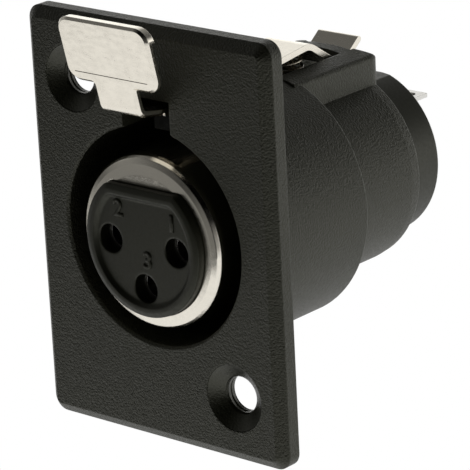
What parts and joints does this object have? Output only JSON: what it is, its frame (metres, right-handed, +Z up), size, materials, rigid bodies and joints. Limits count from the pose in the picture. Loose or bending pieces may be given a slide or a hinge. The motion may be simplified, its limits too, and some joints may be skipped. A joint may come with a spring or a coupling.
{
  "type": "xlr panel socket",
  "caption": "Round audio panel socket with a rectangular flange, a bright nose ring, a push-to-release latch lever and solder-cup contacts.",
  "frame": {"origin": "centre between the two fixing holes, on the flange's back face, which is also the axis of the mouth", "axes": "+Y from the panel into the box along the contacts, -Y out of the mouth, +Z up towards the press plate, X across the flange"},
  "size_m": [0.028, 0.0399, 0.04],
  "materials": {
    "black_body": "fine crinkle texture",
    "black_insulator": "satin moulded",
    "nickel_shell": "nickel plated",
    "nickel_steel": "nickel plated sheet",
    "spring_steel": "drawn wire",
    "contact_metal": "silver plated",
    "tinned_tag": "tinned"
  },
  "bodies": {
    "socket": {"housing": "black_body", "nose_shell": "nickel_shell", "front_insert": "black_insulator", "rear_carrier": "black_insulator", "earth_tag": "tinned_tag", "contact_1": "contact_metal", "contact_2": "contact_metal", "contact_3": "contact_metal", "latch_spring": "spring_steel"},
    "latch": {"latch_lever": "nickel_steel"}
  },
  "joints": [
    {"name": "latch_press", "type": "hinge", "parent": "socket", "child": "latch", "pos_m": [0, 0.0111, 0.01251], "axis": [-1, 0, 0], "range_deg": [0, 2.5], "stiffness_Nm_per_rad": 0.06, "springref_deg": -20.05, "deforming": ["latch_spring"]}
  ]
}
